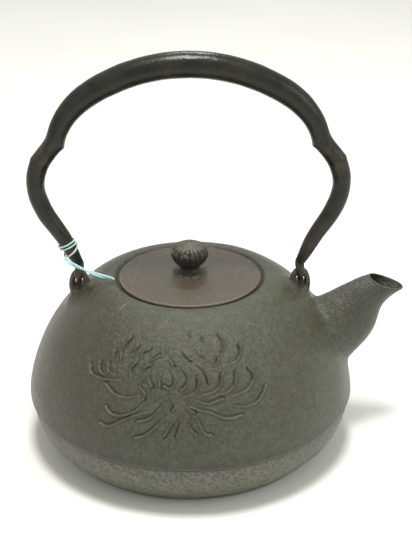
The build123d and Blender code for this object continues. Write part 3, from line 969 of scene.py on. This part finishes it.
def knob_rosette():
    """A thin plate under the knob, with low uneven petals that run down to its edge."""
    base, rise, reach, bore = LID_Z + LID_RISE, 1.6, 10.0, 2.5
    around = 240
    angles = np.linspace(-math.pi, math.pi, around, endpoint=False)
    profile = [(bore, base), (reach - 0.2, base), (reach, base + 0.2), (reach - 0.4, base + 0.5)]
    profile += [(8.0, base + 1.0), (6.0, base + rise), (bore, base + rise), (bore, base)]
    profile = evenly(profile, 0.35)
    radii, heights = profile[:, 0][:, None], profile[:, 1][:, None]
    turns = angles + 0.09 * np.sin(3 * angles + 0.6)
    lobe = np.abs(np.cos(5.5 * turns)) ** 0.6
    out = eased(5.6, 8.6, radii)
    radii = radii - out * (1.1 * (1 - lobe) + 0.25 * (1 + np.sin(2 * angles + 1)))
    heights = heights - 0.45 * out * (1 - lobe) * (heights > base + 0.3)
    grid = turned_grid(radii, heights, angles)
    faces = ring_faces(len(profile), around) + joining_faces((len(profile) - 1) * around, around)
    return flip_if_inside_out(mesh_object("knob_rosette_plate", grid.reshape(-1, 3), faces))


def lid_knob():
    """A fluted bud on a narrow neck, dished on top round a small nub, with its stem and clenched end."""
    shares = [(0.56, 0.0), (0.53, 0.04), (0.51, 0.1), (0.53, 0.155), (0.66, 0.21), (0.82, 0.29)]
    shares += [(0.925, 0.39), (0.98, 0.48), (1.0, 0.58), (0.97, 0.67), (0.9, 0.745), (0.8, 0.8)]
    shares += [(0.68, 0.84), (0.5, 0.89), (0.32, 0.93), (0.2, 0.95), (0.13, 0.985), (0.05, 0.998)]
    outline = natural_spline([(out * KNOB_RADIUS, KNOB_Z + up * KNOB_HEIGHT) for out, up in shares], 90)
    clench = LID_Z - 1.1
    stem = [(0, clench - 1.4), (3.4, clench - 1.4), (4.1, clench - 1.1), (4.4, clench - 0.7), (4.4, clench)]
    stem += [(2.4, clench), (2.4, KNOB_Z)]
    profile = np.concatenate([stem, outline, [(0, KNOB_Z + KNOB_HEIGHT)]])

    def ribs(turns, radii, heights):
        share = (heights - KNOB_Z) / KNOB_HEIGHT
        where = eased(0.12, 0.5, share) * (1 - eased(0.8, 0.9, share))
        groove = np.abs(np.sin(turns * FLUTES / 2)) ** 0.7 - 1
        lean = 0.10 * np.sin(3 * turns + 0.7) - 0.1 + 0.12 * np.sin(2 * turns) * eased(0.7, 0.9, share)
        return where * 0.85 * groove + eased(0.15, 0.3, share) * lean, 0 * turns

    return revolve_piece("bud_knob", profile, 288, ribs)


def washer():
    low, high = LID_Z - 1.0, LID_Z
    profile = np.array([(2.5, low), (6.2, low), (6.5, low + 0.3), (6.4, high), (2.5, high)])
    around = 72
    angles = np.linspace(-math.pi, math.pi, around, endpoint=False)
    radii = profile[:, 0][:, None] - 0.12 * (1 + np.sin(5 * angles + 1)) * (profile[:, 0][:, None] > 5)
    points = turned_grid(radii, profile[:, 1][:, None], angles).reshape(-1, 3)
    faces = ring_faces(len(profile), around) + joining_faces((len(profile) - 1) * around, around)
    return flip_if_inside_out(mesh_object("stem_washer", points, faces))


# The handle


def handle_stations():
    """Half the handle's line, from the arch's top down its right leg: x, z and the tube's radius."""
    stations = []
    for degrees in (0, 14, 28):
        angle = math.radians(degrees)
        drop = ARCH_RADIUS * (1 - math.cos(angle))
        radius = TUBE_TOP_RADIUS - 0.012 * degrees
        stations.append((ARCH_RADIUS * math.sin(angle), HINGE_Z + HANDLE_RISE - drop, radius))
    for out, up, radius in SHOULDER_STATIONS:
        stations.append((out * BULGE_X, HINGE_Z + up * HANDLE_RISE, radius))
    for out, up, radius in LEG_STATIONS:
        stations.append((EAR_X + out * HANDLE_BULGE, HINGE_Z + up * HANDLE_RISE, radius))
    stations.append((EAR_X - 0.5, HINGE_Z + 5.4, 2.6))
    return stations


def handle_line(count):
    half = handle_stations()
    whole = [(-x, 0, z, radius) for x, z, radius in half[:0:-1]]
    whole += [(x, 0, z, radius) for x, z, radius in half]
    smooth = natural_spline(whole, count)
    return smooth[:, :3], smooth[:, 3]


def handle_bail():
    """The hollow forged handle: creased inside each bend, a little flattened, and dented by the hammer."""
    line, radii = handle_line(420)
    radii = rounded_ends(radii, line, 0.5)
    corners = [(70.5, 172.5, 0.32), (-70.5, 172.5, 0.32), (77.2, 161.0, -0.14), (-77.2, 161.0, -0.14)]

    def forged(row, angle):
        row = row[:, 0]
        inward = -np.sign(line[:, 0])
        shape = np.ones((len(row), angle.shape[1]))
        for x, z, depth in corners:
            gap = np.hypot(line[:, 0] - x, line[:, 2] - z)
            peak = np.exp(-gap / 3.0)
            toward = np.sin(angle) * np.sign(facing)[:, None] * inward[:, None] * math.copysign(1, depth)
            depth = abs(depth)
            shape += depth * peak[:, None] * eased(0.3, 1.0, toward)
            shape -= 0.6 * depth * np.exp(-((gap / 6) ** 2))[:, None] * eased(0.2, 1.0, -toward)
        return shape

    _, _, ups = frames_along(line, (0, 1, 0))
    facing = np.where(ups[:, 0] == 0, 1.0, ups[:, 0])
    points, faces = tube(line, radii, 40, (0, 1, 0), forged)
    middle = np.repeat(line, 40, axis=0)
    away = points[:-2] - middle
    away /= np.maximum(np.linalg.norm(away, axis=1), 1e-6)[:, None]
    dents = 0.13 * (lumps(points[:-2], 8, 6.0) - 1) + 0.06 * (lumps(points[:-2], 3.2, 7.0) - 1)
    slim = np.repeat(eased(2.0, 3.8, radii), 40)
    points[:-2] += away * (dents * slim)[:, None]
    return flip_if_inside_out(mesh_object("handle_bail", points, faces))


def hook_bar(side):
    """A round bar out of the handle's end, down in front of the ear's bar, under it and up behind."""
    foot = np.array([EAR_X, 0, HINGE_Z + HOOK_FOOT_RISE])
    out, rise, _ = LEG_STATIONS[-1]
    above = np.array([EAR_X + out * HANDLE_BULGE, 0, HINGE_Z + rise * HANDLE_RISE])
    up = (above - foot) / np.linalg.norm(above - foot)
    front = np.array([EAR_X, -HOOK_BEND, HINGE_Z])
    reach = np.linalg.norm(foot - front) * 0.3
    start, second, third = foot, foot - up * reach, front + np.array([0, 0, reach])
    shares = np.linspace(0, 1, 12)[:, None]
    jog = (1 - shares) ** 3 * start + 3 * (1 - shares) ** 2 * shares * second
    jog = jog + 3 * (1 - shares) * shares**2 * third + shares**3 * front
    turns = np.linspace(math.pi, 2 * math.pi, 24)
    down = HINGE_Z + HOOK_BEND * np.sin(turns)
    bend = np.stack([EAR_X + 0 * turns, HOOK_BEND * np.cos(turns), down], axis=1)
    tail = bend[-1] + np.array([[0, 0, 0.9], [0, 0, 1.7], [0, 0, 2.2], [0, 0, 2.6]])
    line = np.concatenate([[foot + up * 5.5, foot + up * 2.5], jog, bend[1:], tail])
    line = evenly(line, 0.45)
    line[:, 0] *= side
    radii = np.full(len(line), HOOK_RADIUS)
    radii[-4:] *= [0.97, 0.86, 0.66, 0.35]
    first_half = np.arange(len(line)) < len(line) / 2
    broad = 1 + 0.75 * eased(HINGE_Z - 5.5, HINGE_Z + HOOK_FOOT_RISE, line[:, 2]) * first_half
    name = "hook_bar_right" if side > 0 else "hook_bar_left"
    blade = tube(line, radii, 18, shape=lambda row, angle: 1 + (broad[row] - 1) * np.sin(angle) ** 2)
    return flip_if_inside_out(mesh_object(name, *blade))


# The string


def route_line():
    """Points along the tag string's smooth line, in millimetres."""
    curve = bpy.data.curves.new("string_route", "CURVE")
    curve.dimensions = "3D"
    curve.resolution_u = 12
    spline = curve.splines.new("NURBS")
    spline.points.add(len(STRING_ROUTE) - 1)
    for place, point in zip(spline.points, STRING_ROUTE):
        place.co = (*point, 1)
    spline.order_u = 3
    spline.use_endpoint_u = True
    holder = bpy.data.objects.new("string_route", curve)
    line = bpy.data.meshes.new_from_object(holder)
    points = np.array([vertex.co for vertex in line.vertices]) / MM
    bpy.data.objects.remove(holder)
    return points


def strands(line, count, strand, offset, pitch, around=12):
    """Points and faces of strands twisted round a line."""
    _, sides, ups = frames_along(line, (0, 1, 0.2))
    places = distances_along(line)
    parts = []
    for number in range(count):
        turn = (2 * math.pi * (places / pitch + number / count))[:, None]
        path = line + offset * (np.cos(turn) * sides + np.sin(turn) * ups)
        parts.append(tube(path, rounded_ends(np.full(len(path), strand), path, strand), around))
    return joined(parts)


def leg_place(height):
    """The left leg's middle, radius and direction down, at a height above the table."""
    line, radii = handle_line(900)
    left = line[:, 0] < -50
    index = np.argmin(np.where(left, abs(line[:, 2] - height), 1e9))
    down = line[index - 3] - line[index + 3]
    return line[index], radii[index], down / np.linalg.norm(down)


def leg_turns(height, gap, tilt, count=120):
    """One turn round the left leg, gap off its surface, tilted down to the front left."""
    middle, radius, down = leg_place(height)
    side = np.array([0, 1.0, 0])
    across = np.cross(down, side)
    turns = np.linspace(0, 2 * math.pi, count)
    out = side * np.cos(turns)[:, None] + across * np.sin(turns)[:, None]
    slide = tilt * (out @ np.array([-0.75, -0.65, 0]))
    return middle + out * (radius + gap) + down * slide[:, None]


# Camera

camera = bpy.data.objects.new("camera", bpy.data.cameras.new("camera"))
bpy.context.scene.collection.objects.link(camera)
camera.data.lens = CAMERA_LENS
look = (Vector(CAMERA_AIM) - Vector(CAMERA_PLACE)).to_track_quat("-Z", "Y").to_matrix().to_4x4()
camera.matrix_world = (
    Matrix.Translation(Vector(CAMERA_PLACE) * MM) @ look @ Matrix.Rotation(CAMERA_ROLL, 4, "Z")
)
camera.data.clip_start = 0.01
bpy.context.scene.camera = camera

# The string's pieces

# the strings' light and dark tones are partly painted highlight and painted shade
blue = string_finish("blue_string", shade(222, 246, 242), shade(112, 186, 188), 0.5)
white = string_finish("white_thread", shade(236, 240, 226), shade(170, 176, 164), 0.4)

string_line = route_line()
string_line = evenly(np.concatenate([string_line, string_line[-1:] + 1e-3]), 0.5)
string_points, string_faces = strands(string_line, 2, 0.53, 0.56, 34.0)
tag_string = finished(mesh_object("tag_string_twist", string_points, string_faces), blue, 60)
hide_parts("tag_string")

turns = [strands(leg_turns(height, 0.5, -0.3), 2, 0.27, 0.22, 3.2, 8) for height in (115.6, 114.0)]
winding = mesh_object("string_turns", *joined(turns))
finished(winding, blue, 60)
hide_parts("string_winding")
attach(winding, "handle")

thread = mesh_object("thread_turn", *strands(leg_turns(111.4, 0.55, 1.4), 2, 0.3, 0.26, 2.6, 8))
finished(thread, white, 60)
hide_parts("thread_loop")
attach(thread, "handle")

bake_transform(tag_string)

# The iron pieces

iron = casting_finish()
casting = finished(kettle_casting(), iron)
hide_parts("kettle_body", "spout")
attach(casting, "kettle")

lid_iron = lid_finish()
plate = finished(lid_plate(), lid_iron)
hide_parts("lid")
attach(plate, "lid")

rosette = finished(knob_rosette(), lid_iron)
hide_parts("knob_rosette")
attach(rosette, "lid")

stem_washer = finished(washer(), hidden_finish())
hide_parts("knob_washer")
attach(stem_washer, "lid")

knob = finished(lid_knob(), knob_finish())
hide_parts("lid_knob")
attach(knob, "knob")

forged = handle_finish()
bail = finished(handle_bail(), forged)
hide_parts("handle_tube")
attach(bail, "handle")
for side, node in ((1, "hook_right"), (-1, "hook_left")):
    bar = finished(hook_bar(side), forged)
    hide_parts(node)
    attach(bar, "handle")

# Floor and light


def pale_finish():
    """A plain pale table, that stays one tone where the camera sees it far away."""
    finish = Finish("pale_table")
    cloudy = finish.noise(400, 2, 0.5)
    color = finish.mix(cloudy.between(0.3, 0.7), shade(238, 238, 234), shade(243, 243, 240))
    return finish.skin(color, 0.8 + cloudy * 0.05, cloudy, 0.01)


floor = mesh_object(
    "pale_floor", [(-9000, -9000, 0), (9000, -9000, 0), (9000, 9000, 0), (-9000, 9000, 0)], [(0, 1, 2, 3)]
)
floor.data.materials.append(pale_finish())

world = bpy.data.worlds.new("studio")
bpy.context.scene.world = world
world.use_nodes = True
world.node_tree.nodes["Background"].inputs["Color"].default_value = shade(240, 241, 236)
world.node_tree.nodes["Background"].inputs["Strength"].default_value = 0.72


def area_lamp(name, place, aim, size, power, color):
    lamp = bpy.data.lights.new(name, "AREA")
    lamp.shape = "RECTANGLE"
    lamp.size, lamp.size_y = size
    lamp.energy = power
    lamp.color = color
    holder = bpy.data.objects.new(name, lamp)
    bpy.context.scene.collection.objects.link(holder)
    turn = (Vector(aim) - Vector(place)).to_track_quat("-Z", "Y").to_matrix().to_4x4()
    holder.matrix_world = Matrix.Translation(place) @ turn


area_lamp("ceiling_lamp", (0.0, -0.2, 1.28), (0, 0, 0.08), (0.3, 0.26), 12.5, (1.0, 0.99, 0.96))
area_lamp("back_lamp", (0.05, 0.9, 1.2), (0, 0, 0.15), (0.3, 0.2), 4, (1.0, 1.0, 0.98))
area_lamp("side_lamp", (1.4, -0.6, 0.9), (0, 0, 0.06), (0.9, 0.9), 5, (0.97, 0.99, 1.0))

bpy.context.scene.view_settings.view_transform = "Standard"
